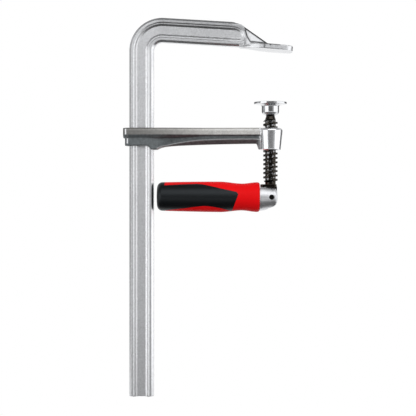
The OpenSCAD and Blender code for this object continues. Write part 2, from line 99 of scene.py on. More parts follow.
class ClampSizes(bpy.types.PropertyGroup):
    """Sizes of the clamp's modelled pieces."""

    rail_width: length("Rail width", "Width of the rail, seen from the front", 25)
    rail_thickness: length("Rail thickness", "Thickness of the rail, front to back", 12)
    rail_chamfer: length("Rail chamfer", "Chamfer along the rail's long edges", 2.2)
    flange: length("Flange", "Width of the flat band along each edge of the rail", 4.3)
    outer_slope: length("Outer slope", "Width of the slope from the band down to the ledge", 1.1)
    ledge: length("Ledge", "Width of the ledge beside the channel floor", 1)
    inner_slope: length("Inner slope", "Width of the slope from the ledge down to the channel floor", 2)
    ledge_depth: length("Ledge depth", "Depth of the ledge below the band", 0.7)
    channel_depth: length("Channel depth", "Depth of the channel floor below the band", 2)
    crease: length("Crease", "Rounding of the channel's creases", 0.15)
    throat: length("Throat", "Distance from the rail's inner edge to the spindle axis", 120)
    bend: length("Bend", "Inner radius of the bend into the fixed arm", 8.7)
    arm_slope: angle("Arm slope", "Downward slope of the fixed arm", 3.6)
    arm_rise: length("Arm rise", "Height of the fixed arm's lower edge at the spindle axis", 1.5)
    jaw_tilt: angle("Jaw tilt", "Downward slope of the jaw's face", 5)
    jaw_thickness: length("Jaw thickness", "Thickness of the jaw plate", 5.2)
    jaw_width: length("Jaw width", "Width of the jaw plate, front to back", 30)
    jaw_tip: length("Jaw tip", "Reach of the jaw plate beyond the spindle axis", 22.6)
    jaw_corner: length("Jaw corner", "Rounding of the jaw plate's free corners", 9.6)
    jaw_back: length("Jaw back", "Distance from the spindle axis back to where the plate narrows", 6.5)
    ridge_angle: angle("Ridge angle", "Slope of the ridge over the jaw plate", 30)
    rib_height: length("Rib height", "Height of the sliding arm's top rib", 7.1)
    rib_out: length("Rib stand-out", "How far the rib stands proud of the web near the boss", 1.3)
    rib_shelf: length("Rib shelf", "How far the rib stands proud of the web at the rail", 3.2)
    collar_width: length("Collar width", "Width of the sliding arm round the rail", 24)
    beam_width: length("Beam width", "Width of the sliding arm near its boss", 14)
    collar_height: length("Collar height", "Height of the sliding arm at the rail", 18.2)
    heel_height: length("Heel height", "Height of the sliding arm just inside the rail", 22.1)
    beam_height: length("Beam height", "Height of the sliding arm next to its boss", 16.1)
    bevel_height: length("Bevel height", "Height above the sliding arm's lower bevel", 11.8)
    boss_top: length("Boss top", "Radius of the boss at its top", 12.6)
    boss_foot: length("Boss foot", "Radius of the boss at its foot", 10.6)
    slide_play: length("Slide play", "Play of the rail in the sliding arm's window", 0.35)
    thread_radius: length("Thread radius", "Outside radius of the thread", 7.5)
    root_radius: length("Root radius", "Root radius of the thread", 5.5)
    pitch: length("Pitch", "Pitch of the thread", 4.5)
    ball: length("Ball", "Radius of the spindle's ball", 5.4)
    neck: length("Neck", "Radius of the spindle's neck below the ball", 4.4)
    foot: length("Foot", "Thickness of the spindle's foot plate", 3.1)
    tang: length("Tang", "Thickness of the tang that the handle hinges on", 6)
    pad: length("Pad", "Radius of the pressure pad", 17)
    pad_rim: length("Pad rim", "Thickness of the pressure pad's rim", 2.2)
    cup: length("Cup", "Radius of the pad's cup", 9)
    cup_round: length("Cup rounding", "Rounding of the cup's lower edge", 3.8)
    head: length("Head", "Radius of the handle's metal head", 9.9)
    head_collar: length("Head collar", "Radius of the head where the handle starts", 13.9)
    head_start: length("Handle start", "Distance from the hinge pin to the handle", 12.1)
    handle_flange: length("Handle flange", "Radius of the handle's front flange", 15.25)
    handle_neck: length("Handle neck", "Radius of the handle's neck", 13.8)
    handle_belly: length("Handle belly", "Radius of the handle's belly", 15.7)
    handle_tail: length("Handle tail", "Radius of the handle's tail", 14.6)
    tail_round: length("Tail rounding", "Rounding of the handle's end", 5.4)
    handle_lift: angle("Handle lift", "Upward turn of the handle on its head", 0.4)
    soft_layer: length("Soft layer", "Thickness of the handle's soft layer", 2.2)
    soft_cap: length("Soft cap", "Length of the soft cap over the handle's end", 8)


class ClampColours(bpy.types.PropertyGroup):
    """Colours of the clamp's finishes."""

    plated: colour("Plated steel", "Bright plated steel of the rail and the pad", 0.80, 0.81, 0.83)
    forged: colour("Forged steel", "Dark forged skin of the sliding arm", 0.138, 0.153, 0.16)
    ground: colour("Ground steel", "Bright ground faces of the sliding arm", 0.80, 0.79, 0.765)
    blackened: colour("Blackened steel", "Burnished steel of the spindle", 0.075, 0.066, 0.055)
    pin: colour("Pin steel", "Dark rolled hinge pin", 0.035, 0.032, 0.030)
    satin: colour("Satin steel", "Satin plated head of the handle", 0.84, 0.85, 0.88)
    spring: colour("Spring steel", "Plain steel of the ring and the washers", 0.45, 0.46, 0.48)
    red: colour("Red", "Hard moulded part of the handle", 0.81, 0.005, 0.007)
    soft: colour("Soft black", "Soft moulded part of the handle", 0.0012, 0.0014, 0.0018)


# Modelling by operators


def lerp(start, end, share):
    """The value at a share of the way from start to end."""
    return start + (end - start) * share


def ease(share):
    """A share from 0 to 1 that starts and ends gently."""
    share = min(1, max(0, share))
    return share * share * (3 - 2 * share)


def arc(centre, radius, first, last, steps):
    """Points on an arc, between two angles in degrees."""
    turns = [math.radians(lerp(first, last, i / steps)) for i in range(steps + 1)]
    return [(centre[0] + radius * math.cos(t), centre[1] + radius * math.sin(t)) for t in turns]


def begin(name, add, **settings):
    """Adds a primitive by itself and opens it for editing."""
    bpy.ops.object.select_all(action="DESELECT")
    add(**settings)
    piece = bpy.context.object
    piece.name = piece.data.name = name
    bpy.ops.object.transform_apply(location=True, rotation=True, scale=True)
    bpy.ops.object.mode_set(mode="EDIT")
    bpy.ops.mesh.select_mode(type="VERT")
    return piece


def begin_box(name, low, high):
    """Opens a box between two corners for editing."""
    low, high = Vector(low), Vector(high)
    return begin(name, bpy.ops.mesh.primitive_cube_add, size=1, location=(low + high) / 2, scale=high - low)


def pick_all():
    """Selects all of the edited mesh."""
    bpy.ops.mesh.select_all(action="SELECT")


def close(piece):
    """Ends the editing, with the faces outwards."""
    pick_all()
    bpy.ops.mesh.normals_make_consistent(inside=False)
    if bmesh.from_edit_mesh(piece.data).calc_volume(signed=True) < 0:
        bpy.ops.mesh.flip_normals()
    bpy.ops.object.mode_set(mode="OBJECT")
    return piece


def focus(piece):
    """Selects one piece and nothing else."""
    bpy.ops.object.select_all(action="DESELECT")
    piece.select_set(True)
    bpy.context.view_layer.objects.active = piece


def reopen(piece):
    """Opens a closed piece for editing again, with all of it selected."""
    focus(piece)
    bpy.ops.object.mode_set(mode="EDIT")
    pick_all()


def place(piece, turn=(0, 0, 0), shift=(0, 0, 0)):
    """Turns a closed piece about the origin, moves it, and leaves that in its mesh."""
    focus(piece)
    piece.rotation_euler = turn
    piece.location = shift
    bpy.ops.object.transform_apply(location=True, rotation=True, scale=True)
    return piece


def pick(kind, test):
    """Selects the edited mesh's vertices, edges or faces that pass a test, and nothing else."""
    mesh = bpy.context.object.data
    bpy.ops.mesh.select_mode(type=kind)
    bpy.ops.mesh.select_all(action="DESELECT")
    form = bmesh.from_edit_mesh(mesh)
    for item in {"VERT": form.verts, "EDGE": form.edges, "FACE": form.faces}[kind]:
        if test(item):
            item.select_set(True)
    form.select_flush_mode()
    bmesh.update_edit_mesh(mesh)


def middle(edge):
    """Middle of an edge."""
    return (edge.verts[0].co + edge.verts[1].co) / 2


def runs_along(edge, axis):
    """True for an edge that runs along an axis."""
    return abs((edge.verts[1].co - edge.verts[0].co).normalized()[axis]) > 0.99


def bevel(offset, segments):
    """Rounds the selected edges."""
    bpy.ops.mesh.bevel(offset=offset, segments=segments, affect="EDGES")


def extrude(step):
    """Extrudes the selected faces by a step."""
    bpy.ops.mesh.extrude_region_move(TRANSFORM_OT_translate={"value": step})


def slice_at(point, normal, keep_below=False):
    """Cuts the edited mesh by a plane, and can throw away what is beyond it."""
    pick_all()
    bpy.ops.mesh.bisect(
        plane_co=point, plane_no=normal, use_fill=keep_below, clear_outer=keep_below, threshold=TINY / 10
    )


def modify(piece, kind, **settings):
    """Adds a modifier and applies it."""
    focus(piece)
    modifier = piece.modifiers.new(kind.title(), kind)
    for key, value in settings.items():
        setattr(modifier, key, value)
    bpy.ops.object.modifier_apply(modifier=modifier.name)


def combine(piece, tool, operation="DIFFERENCE"):
    """Cuts a tool out of a piece, or joins or intersects the two, and removes the tool."""
    modify(piece, "BOOLEAN", operation=operation, object=tool, solver="EXACT")
    bpy.data.objects.remove(tool)
    return piece


def mend(piece):
    """Closes the hair gaps that cuts can leave."""
    reopen(piece)
    bpy.ops.mesh.remove_doubles(threshold=TINY / 5)
    bpy.ops.mesh.dissolve_degenerate(threshold=TINY / 10)
    pick_all()
    bpy.ops.mesh.fill_holes(sides=0)
    return close(piece)


def gather(piece, *others):
    """Joins other pieces into one object with the first."""
    focus(piece)
    for other in others:
        other.select_set(True)
    bpy.ops.object.join()
    return piece


def copy_of(piece, name):
    """A separate copy of a piece."""
    focus(piece)
    bpy.ops.object.duplicate()
    twin = bpy.context.object
    twin.name = twin.data.name = name
    return twin


def turned(name, outline, sides=96):
    """A closed form turned about Z from (radius, height) points, from its bottom face to its top face."""
    (radius, height), *rest = outline
    disc = {"vertices": sides, "radius": radius, "fill_type": "NGON", "location": (0, 0, height)}
    piece = begin(name, bpy.ops.mesh.primitive_circle_add, **disc)
    for next_radius, next_height in rest:
        extrude((0, 0, next_height - height))
        share = next_radius / radius
        bpy.ops.transform.resize(value=(share, share, 1), center_override=(0, 0, next_height))
        radius, height = next_radius, next_height
    return close(piece)


def begin_line(name, points):
    """Opens a line of edges through points for editing."""
    piece = begin(name, bpy.ops.mesh.primitive_plane_add, size=MM)
    bpy.ops.mesh.merge(type="CENTER")
    bpy.ops.transform.translate(value=points[0])
    for last, point in zip(points, points[1:]):
        extrude(Vector(point) - Vector(last))
    return piece


def prism(name, outline, depth):
    """A closed outline's face, drawn out by a depth along Y."""
    piece = begin_line(name, outline)
    pick_all()
    bpy.ops.mesh.edge_face_add()
    extrude((0, depth, 0))
    return close(piece)


def lofted(name, stations, section):
    """A closed form along X. The section gives (half width, height) at each level, from low to high."""
    unit = MM
    levels = [level * unit for level in range(len(section(stations[0])))]
    piece = begin_box(name, (stations[0], -unit, 0), (stations[-1], unit, levels[-1]))
    for x in stations[1:-1]:
        slice_at((x, 0, 0), (1, 0, 0))
    for level in levels[1:-1]:
        slice_at((0, 0, level), (0, 0, 1))
    points = [(v.index, v.co.copy()) for v in bmesh.from_edit_mesh(piece.data).verts]
    for x in stations:
        for level, (half, height) in zip(levels, section(x)):
            group = {index for index, co in points if abs(co.x - x) < TINY and abs(co.z - level) < TINY}
            pick("VERT", lambda v: v.index in group)
            bpy.ops.transform.translate(value=(0, 0, height - level))
            bpy.ops.transform.resize(value=(1, half / unit, 1), center_override=(x, 0, height))
    return close(piece)


def forge(piece, voxel, passes, limit=None):
    """Fuses a piece's overlapping forms and softens their edges, wholly or by a weight at each point."""
    modify(piece, "REMESH", mode="VOXEL", voxel_size=voxel)
    settings = {"factor": 0.5, "iterations": passes}
    if limit:
        group = piece.vertex_groups.new(name="softened")
        for vertex in piece.data.vertices:
            group.add([vertex.index], limit(vertex.co), "REPLACE")
        settings["vertex_group"] = group.name
    modify(piece, "SMOOTH", **settings)


def note(piece, name, measure, domain="POINT"):
    """Writes a measure of each point, or of each face, into the piece's mesh for its finish to read."""
    items = piece.data.vertices if domain == "POINT" else piece.data.polygons
    values = piece.data.attributes.new(name, "FLOAT", domain).data
    for item, value in zip(items, values):
        value.value = measure(item)


def smooth_shade(piece):
    """Shades a piece smooth, apart from its sharp edges and with its large faces even."""
    sharp = math.radians(30)
    focus(piece)
    bpy.ops.object.shade_smooth_by_angle(angle=sharp)
    modify(piece, "WEIGHTED_NORMAL", keep_sharp=True)


def dress(piece, body, nodes, material):
    """Shades a new piece and gives it its finish, its body and the solids that it stands for."""
    smooth_shade(piece)
    piece.data.materials.clear()
    piece.data.materials.append(material)
    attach(piece, body)
    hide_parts(*nodes)


# Finishes


class Flow:
    """A shader value on which Python's arithmetic adds Math nodes."""

    def __init__(self, sheet, socket):
        self.sheet = sheet
        self.socket = socket

    def math(self, operation, first, second):
        """The result of a Math node."""
        return self.sheet.node("ShaderNodeMath", {"operation": operation}, {0: first, 1: second})

    def __add__(self, other):
        return self.math("ADD", self, other)

    def __sub__(self, other):
        return self.math("SUBTRACT", self, other)

    def __rsub__(self, other):
        return self.math("SUBTRACT", other, self)

    def __mul__(self, other):
        return self.math("MULTIPLY", self, other)

    def __pow__(self, other):
        return self.math("POWER", self, other)

    def __abs__(self):
        return self.math("ABSOLUTE", self, 0)

    __radd__ = __add__
    __rmul__ = __mul__


class Sheet:
    """The nodes of one tree."""

    def __init__(self, tree):
        self.tree = tree

    def node(self, kind, settings=None, inputs=None, output=0):
        """Adds a node, sets it up, and returns one of its outputs."""
        node = self.tree.nodes.new(kind)
        for key, value in (settings or {}).items():
            setattr(node, key, value)
        for key, value in (inputs or {}).items():
            self.feed(node.inputs[key], value)
        return Flow(self, node.outputs[output])

    def feed(self, socket, value):
        """Links a value to a socket, or sets it there."""
        if isinstance(value, Flow):
            self.tree.links.new(value.socket, socket)
        else:
            socket.default_value = value

    def axes(self, vector):
        """The three parts of a vector."""
        return [self.node("ShaderNodeSeparateXYZ", {}, {0: vector}, axis) for axis in "XYZ"]

    def ray(self, kind):
        """1 for one kind of ray, 0 for the others."""
        return self.node("ShaderNodeLightPath", output=f"Is {kind} Ray")

    def rise(self, value, low, high, start=0, end=1):
        """A value's way from low to high, as a smooth step from start to end."""
        settings = {"interpolation_type": "SMOOTHSTEP"}
        return self.node("ShaderNodeMapRange", settings, {0: value, 1: low, 2: high, 3: start, 4: end})

    def between(self, value, low, rising, falling, high):
        """1 from rising to falling, and fading to 0 at low and at high."""
        return self.rise(value, low, rising) * self.rise(value, high, falling)

    def mix(self, share, first, second):
        """A mix of two colours."""
        first, second = (c if isinstance(c, Flow) else (*c, 1) for c in (first, second))
        return self.node("ShaderNodeMix", {"data_type": "RGBA"}, {0: share, 6: first, 7: second}, 2)

    def shade(self, tint, value):
        """A colour times a value."""
        grey = self.node("ShaderNodeCombineColor", {}, {0: value, 1: value, 2: value})
        settings = {"data_type": "RGBA", "blend_type": "MULTIPLY"}
        return self.node("ShaderNodeMix", settings, {0: 1.0, 6: (*tint, 1), 7: grey}, 2)


class Finish(Sheet):
    """One material's nodes, on Object coordinates in millimetres."""

    def __init__(self, name, metal, specular=0.5, gleam=(1, 1, 1)):
        self.material = bpy.data.materials.new(name)
        self.material.use_nodes = True
        super().__init__(self.material.node_tree)
        self.shader = self.tree.nodes["Principled BSDF"]
        self.done(Metallic=metal, Specular_IOR_Level=specular, Specular_Tint=(*gleam, 1))
        metres = self.node("ShaderNodeTexCoord", output="Object")
        self.spot = self.stretch(metres, (1 / MM, 1 / MM, 1 / MM))
        self.x, self.y, self.z = self.axes(self.spot)

    def stretch(self, vector, scale):
        """A vector times a scale along each axis."""
        return self.node("ShaderNodeVectorMath", {"operation": "MULTIPLY"}, {0: vector, 1: scale})

    def noise(self, scale, detail=3, stretch=(1, 1, 1)):
        """Noise of a fineness per millimetre, drawn out where a stretch is under 1."""
        vector = self.stretch(self.spot, [scale * s for s in stretch])
        return self.node("ShaderNodeTexNoise", {}, {"Vector": vector, "Scale": 1, "Detail": detail})

    def radius(self):
        """Distance from the Z axis."""
        return (self.x * self.x + self.y * self.y) ** 0.5

    def noted(self, name):
        """A measure that the piece's mesh carries."""
        return self.node("ShaderNodeAttribute", {"attribute_name": name}, {}, "Fac")

    def bump(self, height, millimetres):
        """A normal from a height."""
        inputs = {"Height": height, "Strength": 1.0, "Distance": millimetres * MM}
        return self.node("ShaderNodeBump", {}, inputs)

    def done(self, **inputs):
        """Feeds the shader and returns the material."""
        for key, value in inputs.items():
            self.feed(self.shader.inputs[key.replace("_", " ")], value)
        return self.material


def plated_steel(colours, sizes):
    """Bright plated rolled steel, with fine marks along the rail and a tone for each band."""
    f = Finish("plated_steel", metal=1)
    inner_edge = -sizes.throat / MM
    channel_floor = (sizes.rail_thickness / 2 - sizes.channel_depth) / MM
    band, ledge, *_, floor = (step / MM for step in channel_steps(sizes))
    band_end = (sizes.rail_width / 2 - sizes.rail_chamfer) / MM
    on_arm = f.rise(f.x, inner_edge - 2, inner_edge + 8)
    up_rail = f.noise(1.6, 2, (1, 1, 0.02))
    along_arm = f.noise(1.6, 2, (0.02, 1, 1))
    marks = up_rail * (1 - on_arm) + along_arm * on_arm
    clouds = f.noise(0.06, 4)
    speckle = f.noise(0.55, 5)
    # Painted shade: the sunken channel floor is made darker in the tone below.
    sunken = 1 - f.rise(abs(f.y), channel_floor - 0.1, channel_floor + 0.6)
    # Painted highlight: slanted faces are made lighter in the tone below, as well as smoother.
    slant = f.rise(f.noted("slant"), 0.04, 0.18)
    # Painted shadow: seam darkens the base colour to near black along the lines where the web, the ridge and
    # the jaw plate meet.
    seam = f.noted("seam")
    across = f.noted("across")
    outer_ledge = f.between(across, -ledge - 0.3, -ledge, -floor - 0.2, -floor + 0.2)
    inner_band = f.between(across, band + 0.1, band + 0.4, band_end - 0.5, band_end - 0.1)
    upper_band = on_arm * f.rise(across, -ledge, -ledge - 0.3)
    # Painted shade: on_arm makes the fixed arm darker in this tone.
    tone = 0.70 + 0.10 * marks + 0.10 * clouds + 0.44 * speckle - 0.06 * sunken + 0.06 * slant - 0.10 * on_arm
    # Painted shade: the outer ledge is made darker to stand in for the dark line its narrow face reflects;
    # the inner band and the fixed arm's upper band are made darker too.
    tone = tone * (1 - 0.26 * outer_ledge - 0.1 * inner_band - 0.24 * upper_band)
    return f.done(
        Base_Color=f.shade(colours.plated, tone * (1 - 0.95 * seam)),
        Roughness=0.42 + 0.08 * clouds + 0.05 * marks - 0.22 * slant + 0.15 * seam,
        Normal=f.bump(marks + 0.8 * speckle, 0.04),
    )


def forged_steel(colours, sizes):
    """Forged arm: dark skin on the web, abraded bright along its lower edges and end where painted highlight
    lines fall, and brighter rib and boss.
    """
    f = Finish("forged_steel", metal=1)
    top, inner_edge = arm_high.z / MM, -sizes.throat / MM
    boss_foot, boss_top = sizes.boss_foot / MM, sizes.boss_top / MM
    rib_foot = (arm_high.z - sizes.rib_height) / MM
    rib = f.rise(f.z, rib_foot - 0.2, rib_foot + 0.5)
    radius = f.radius()
    cone = f.rise(f.z, arm_low.z / MM, top, start=boss_foot, end=boss_top)
    boss = 1 - 0.6 * f.rise(radius - cone, 0.2, 0.7) - 0.4 * f.rise(radius, boss_top + 0.4, boss_top + 1)
    collar = 1 - f.rise(f.x, inner_edge + 2, inner_edge + 16)
    scale = f.noise(0.35, 5)
    grain = f.noise(0.9, 4)
    # Partly painted highlight: bright bare steel along the web's lower edge and the arm's end, placed where
    # their highlight lines fall.
    worn_and_highlit = f.noted("edge_wear_and_highlight")
    # Painted shade along the rib's top edge, and a painted highlight line just below it.
    painted_shade_edge = f.between(f.z, top - 1.4, top - 0.9, top - 0.3, top - 0.1)
    painted_highlight_edge = f.between(f.z, top - 3.2, top - 2.4, top - 1.6, top - 1)
    rib_tone = f.rise(f.x, -150, -30, start=0.36, end=1.05) * (1 - 0.5 * painted_shade_edge + 0.25 * painted_highlight_edge)
    skin = f.shade(colours.forged, 0.6 * grain + scale + 0.4 * collar)
    ground = f.shade(colours.ground, rib_tone * (0.55 + 0.45 * scale + 0.45 * grain))
    surface = f.mix(worn_and_highlit * (0.6 + 0.4 * scale), f.mix(rib, skin, ground), colours.plated)
    bright = f.shade(colours.plated, 1.02 + 0.12 * scale)
    scaly = (1 - rib) * (1 - boss) * (1 - worn_and_highlit)
    return f.done(
        Base_Color=f.mix(boss, surface, bright),
        Metallic=1 - 0.45 * scaly,
        Roughness=0.42 + 0.10 * scale - 0.28 * boss - 0.2 * worn_and_highlit * (1 - boss),
        Normal=f.bump((scale + 0.35 * grain) * (1 - 0.85 * boss), 0.10),
    )


def blackened_steel(colours, sizes):
    """Burnished and oiled steel, with painted glints: bright steel spots along the thread's root."""
    f = Finish("blackened_steel", metal=1)
    root = sizes.root_radius / MM
    thread_foot, thread_top = pin.z / MM + 15, pad_low.z / MM - 5
    threaded = f.between(f.z, thread_foot, thread_foot + 1, thread_top - 1, thread_top)
    # Painted glints: noise-placed spots of bright steel along the thread's root.
    spots = f.rise(f.noise(0.62, 2), 0.5, 0.6)
    glint_spots = f.rise(f.radius(), root + 0.5, root + 0.15) * threaded * spots
    patches = f.noise(0.5, 4)
    dark = f.shade(colours.blackened, 0.15 + 0.8 * patches)
    bright = f.shade(colours.spring, 0.5 + 0.7 * patches)
    return f.done(
        Base_Color=f.mix(glint_spots, dark, bright),
        Roughness=0.05 + 0.08 * patches,
        Normal=f.bump(f.noise(1.6), 0.05),
    )


def plain_steel(name, tint, roughness):
    """Plain steel with a fine grain."""
    f = Finish(name, metal=1)
    grain = f.noise(1.8)
    return f.done(
        Base_Color=f.shade(tint, 0.9 + 0.2 * grain),
        Roughness=roughness + 0.08 * grain,
        Normal=f.bump(grain, 0.02),
    )


def pad_steel(colours):
    """Bright plated turned steel of the pad."""
    f = Finish("pad_steel", metal=1)
    rings = {"W": f.radius(), "Scale": 3.0, "Detail": 2.0}
    lines = f.node("ShaderNodeTexNoise", {"noise_dimensions": "1D"}, rings)
    clouds = f.noise(0.2)
    return f.done(
        Base_Color=f.shade(colours.plated, 0.9 + 0.12 * clouds),
        Roughness=0.08 + 0.05 * clouds + 0.05 * lines,
        Normal=f.bump(lines + 0.4 * f.noise(1.5, 2), 0.006),
    )


def satin_steel(colours):
    """Satin plated cast head, with a fine even grain."""
    f = Finish("satin_steel", metal=1)
    grain = f.noise(2.6)
    clouds = f.noise(0.15)
    return f.done(
        Base_Color=f.shade(colours.satin, 0.9 + 0.12 * clouds),
        Roughness=0.38 + 0.08 * grain,
        Normal=f.bump(grain, 0.03),
    )


def red_plastic(colours):
    """Hard red moulding with a faint ripple."""
    f = Finish("red_plastic", metal=0, specular=0.05)
    ripple = f.noise(0.12)
    grain = f.noise(3, 2)
    return f.done(
        Base_Color=f.shade(colours.red, 0.95 + 0.1 * ripple),
        Roughness=0.36 + 0.1 * ripple,
        Normal=f.bump(grain + ripple, 0.02),
    )


def soft_black(colours):
    """Soft black moulding with a fine matt grain."""
    f = Finish("soft_black", metal=0, specular=0.44, gleam=(0.84, 0.93, 1))
    grain = f.noise(2.4)
    clouds = f.noise(0.08)
    return f.done(
        Base_Color=f.shade(colours.soft, 0.85 + 0.3 * clouds),
        Roughness=0.34 + 0.12 * grain,
        Normal=f.bump(grain, 0.05),
    )


# Pieces


def rail_middle(s):
    """X of the rail's middle."""
    return -s.throat - s.rail_width / 2


def bend_centre(s):
    """Centre of the rail's bend."""
    x = -s.throat + s.bend
    drop = s.bend * math.cos(s.arm_slope) + math.tan(s.arm_slope) * (x + s.bend * math.sin(s.arm_slope))
    return Vector((x, 0, s.arm_rise - drop))


def arm_frame(s, x):
    """Point at an X on the fixed arm's middle line, the arm's direction and its upward normal."""
    forward = Vector((math.cos(s.arm_slope), 0, -math.sin(s.arm_slope)))
    upward = Vector((math.sin(s.arm_slope), 0, math.cos(s.arm_slope)))
    start = bend_centre(s) + upward * (s.bend + s.rail_width / 2)
    return start + forward * ((x - start.x) / forward.x), forward, upward


def channel_steps(s):
    """Distances from the rail's middle to its band, ledge, shelf edge and floor."""
    band = s.rail_width / 2 - s.flange
    ledge = band - s.outer_slope
    shelf = ledge - s.ledge
    return band, ledge, shelf, shelf - s.inner_slope


def rail_bar(s, seam_x):
    """Rail section with its stepped channels, spun round the bend and drawn out along the arm."""
    x, centre = rail_middle(s), bend_centre(s)
    half_w, half_t = s.rail_width / 2, s.rail_thickness / 2
    bar = begin_box("rail_forging", (x - half_w, -half_t, rail_low.z), (x + half_w, half_t, centre.z))
    pick("EDGE", lambda e: runs_along(e, 2))
    bevel(s.rail_chamfer, 1)
    steps = channel_steps(s)
    for step in steps:
        for side in (-1, 1):
            slice_at((x + side * step, 0, 0), (1, 0, 0))
    _, ledge, _, floor = steps
    for reach, depth in ((ledge, s.ledge_depth), (floor, s.channel_depth - s.ledge_depth)):
        for face in (-1, 1):
            pick("VERT", lambda v: abs(v.co.x - x) < reach + TINY and v.co.y * face > 0)
            bpy.ops.transform.translate(value=(0, -face * depth, 0))
    lines = (*steps, half_w - s.rail_chamfer, half_w)

    def is_crease(edge):
        away = abs(middle(edge).x - x)
        return runs_along(edge, 2) and any(abs(away - line) < TINY for line in lines)

    pick("EDGE", is_crease)
    bevel(s.crease, 2)
    pick("FACE", lambda f: f.normal.z > 0.9)
    bpy.ops.mesh.spin(steps=24, angle=math.pi / 2 + s.arm_slope, center=centre, axis=(0, -1, 0))
    seam, forward, _ = arm_frame(s, seam_x)
    extrude(forward * (seam - centre).dot(forward))
    pick("EDGE", lambda e: abs(middle(e).z - rail_low.z) < TINY and len(e.link_faces) == 2)
    foot_edge = 0.4 * MM
    bevel(foot_edge, 2)
    return close(bar)


def plate_half(s, x, neck_x):
    """Half width of the jaw plate at an X, from its neck out to its full width."""
    straight, inset = 4 * MM, 0.1 * MM
    share = ease((x - neck_x - straight) / (-s.jaw_back - neck_x - straight))
    return lerp(s.rail_thickness / 2 - inset, s.jaw_width / 2, share)


def jaw_plate(s, neck_x):
    """Jaw plate, with its free corners rounded and its neck drawn in."""
    half = s.jaw_width / 2
    plate = begin_box("jaw_plate", (neck_x, -half, 0), (s.jaw_tip, half, s.jaw_thickness))
    pick("EDGE", lambda e: runs_along(e, 2) and middle(e).x > 0)
    bevel(s.jaw_corner, 10)
    stations = [lerp(neck_x, -s.jaw_back, i / 10) for i in range(11)]
    for x in stations[1:]:
        slice_at((x, 0, 0), (1, 0, 0))
    for x in stations:
        pick("VERT", lambda v: abs(v.co.x - x) < TINY)
        bpy.ops.transform.resize(value=(1, plate_half(s, x, neck_x) / half, 1), center_override=(x, 0, 0))
    return close(plate)


def jaw_web(s, neck_x, ridge_x):
    """Web over the jaw plate, which flares out on to it."""
    root, tip, flare, flare_run = s.rail_thickness / 2 - s.channel_depth, 2.6 * MM, 0.36, 9 * MM

    def section(x):
        low = s.jaw_thickness / 2
        high = s.jaw_thickness + math.tan(s.ridge_angle) * (ridge_x - x)
        crown = lerp(root, tip, (x - neck_x) / (ridge_x - neck_x))
        spread = flare * ease((x - neck_x) / flare_run)
        return [(crown + spread * (high - z), z) for z in (low, (low + high) / 2, high)]

    return lofted("jaw_web", [lerp(neck_x, ridge_x, i / 9) for i in range(10)], section)


def channel_cutter(s, side, start_x, end_x):
    """Stepped channel with a rounded end, to cut into one face of the fixed arm."""
    band, ledge, shelf, floor = channel_steps(s)
    reach = end_x - start_x
    surface = side * s.rail_thickness / 2
    near, far = surface + side * MM, surface - side * s.ledge_depth
    low_y, high_y = min(near, far), max(near, far)
    upper_round, lower_round = 12 * MM, 4 * MM
    cutter = begin_box("channel_cutter", (0, low_y, -band), (reach, high_y, band))
    pick("EDGE", lambda e: runs_along(e, 1) and middle(e).x > TINY and middle(e).z > 0)
    bevel(upper_round, 10)
    pick("EDGE", lambda e: runs_along(e, 1) and middle(e).x > reach - TINY and middle(e).z < -band + TINY)
    bevel(lower_round, 6)
    pick("FACE", lambda f: f.normal.y * side < -0.9)
    bpy.ops.transform.resize(value=(1 - s.outer_slope / reach, 1, ledge / band), center_override=(0, far, 0))
    bpy.ops.mesh.inset(thickness=s.ledge)
    extrude((0, -side * (s.channel_depth - s.ledge_depth), 0))
    bpy.ops.transform.resize(value=(1 - s.inner_slope / reach, 1, floor / shelf), center_override=(0, far, 0))
    return place(close(cutter), (0, s.arm_slope, 0), arm_frame(s, start_x)[0])


def leaning(tilt):
    """Upward normal of a plane that slopes down towards +X."""
    return Vector((math.sin(tilt), 0, math.cos(tilt)))


def jaw_stub(s, start_x, ridge_x):
    """End of the fixed arm, cut off along its ridge, brow and front, with a channel in each face."""
    end_x, channel_end, channel_lead = -20 * MM, -25.5 * MM, 2 * MM
    half_w, half_t = s.rail_width / 2, s.rail_thickness / 2
    stub = begin_box("jaw_stub", (0, -half_t, -half_w), (end_x - start_x, half_t, half_w))
    pick("EDGE", lambda e: runs_along(e, 0))
    bevel(s.rail_chamfer, 1)
    place(close(stub), (0, s.arm_slope, 0), arm_frame(s, start_x)[0])
    ridge_tilt = s.jaw_tilt + s.ridge_angle
    ridge_spot = Vector((ridge_x, 0, s.jaw_thickness))
    ridge_spot.rotate(Matrix.Rotation(s.jaw_tilt, 3, "Y"))
    brow = leaning((ridge_tilt + s.arm_slope) / 2)
    brow_spot = Vector((-34.7 * MM, 0, 28.7 * MM)) - brow * 0.9 * MM
    front = Vector((0.945, 0, 0.327))
    front_spot = Vector((-23.5 * MM, 0, 14.6 * MM))
    reopen(stub)
    for spot, normal in ((ridge_spot, leaning(ridge_tilt)), (brow_spot, brow), (front_spot, front)):
        slice_at(spot, normal, keep_below=True)
    close(stub)
    for side in (-1, 1):
        combine(stub, channel_cutter(s, side, start_x - channel_lead, channel_end))
    return stub


def fixed_jaw(s, seam_x):
    """Forged end of the rail: the arm's channels end, and its web flares out on to the jaw plate."""
    neck_x, ridge_x, overlap = -32 * MM, -0.5 * MM, 6 * MM
    voxel, passes, crisp, fade_start, fade_run = 0.36 * MM, 8, 0.3, 1 * MM, 6 * MM
    jaw = jaw_stub(s, seam_x - overlap, ridge_x)
    plate = place(jaw_plate(s, neck_x), (0, s.jaw_tilt, 0))
    web = place(jaw_web(s, neck_x, ridge_x), (0, s.jaw_tilt, 0))
    gather(jaw, plate, web)
    forge(jaw, voxel, passes, lambda co: lerp(crisp, 1, ease((co.x - seam_x - fade_start) / fade_run)))
    seam, forward, _ = arm_frame(s, seam_x)
    reopen(jaw)
    slice_at(seam, -forward, keep_below=True)
    return close(jaw)


